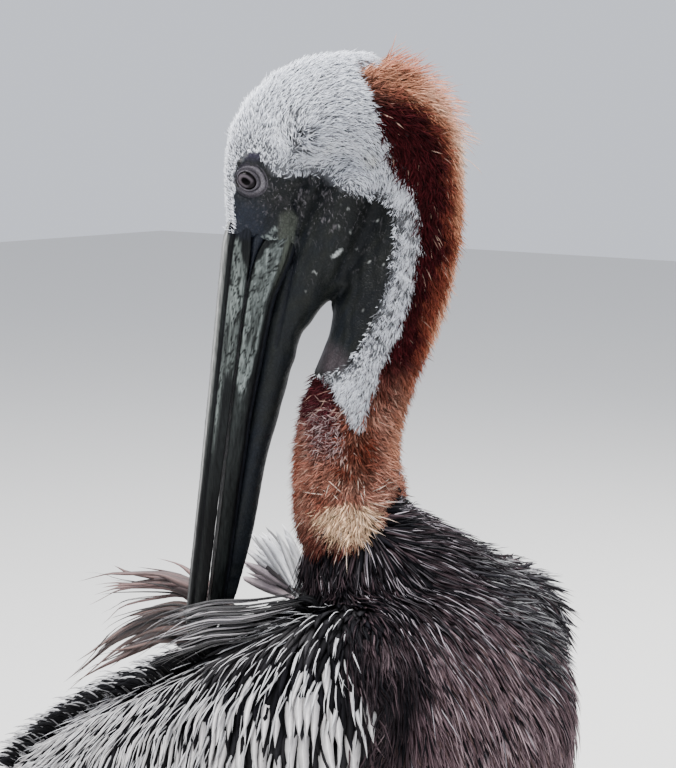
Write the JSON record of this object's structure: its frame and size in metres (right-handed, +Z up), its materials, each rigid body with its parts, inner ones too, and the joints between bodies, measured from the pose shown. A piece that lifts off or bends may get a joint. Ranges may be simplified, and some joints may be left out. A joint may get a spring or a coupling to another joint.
{
  "type": "brown pelican model",
  "caption": "Life-size brown pelican in breeding plumage, standing, with the long bill and its folded pouch turned back over one wing.",
  "frame": {"origin": "on the floor, under the middle of the whole bird's bounding box", "axes": "+Z up, +X the way the trunk faces, +Y the bird's left; the head is turned back to face -X and -Y"},
  "size_m": [0.5752, 0.2522, 0.6761],
  "materials": {
    "brown_plumage": "matt feathers",
    "silver_plumage": "silky feathers",
    "chestnut_plumage": "matt, short, hair-like feathers",
    "white_plumage": "matt, short feathers",
    "flight_feathers": "smooth vanes",
    "bill_horn": "dry horn, flaking along the lower edge",
    "pouch_skin": "bare, finely wrinkled skin",
    "eye": "wet",
    "leg_skin": "scaled skin"
  },
  "bodies": {
    "root": {"trunk": "brown_plumage", "neck_lower": "chestnut_plumage", "neck_upper": "chestnut_plumage", "head": "white_plumage", "upper_bill": "bill_horn", "bill_nail": "bill_horn", "lower_bill": "bill_horn", "pouch": "pouch_skin", "eye_left": "eye", "eye_right": "eye", "tail": "flight_feathers", "wing_coverts_right": "silver_plumage", "wing_coverts_left": "silver_plumage", "wing_primaries_right": "flight_feathers", "wing_primaries_left": "flight_feathers", "scapular_plume_upper": "silver_plumage", "scapular_plume_lower": "silver_plumage", "mantle_tuft": "silver_plumage", "ruffled_tuft": "silver_plumage", "foot_right": "leg_skin", "foot_left": "leg_skin", "shank_right": "leg_skin", "shank_left": "leg_skin", "thigh_right": "brown_plumage", "thigh_left": "brown_plumage"}
  },
  "joints": []
}
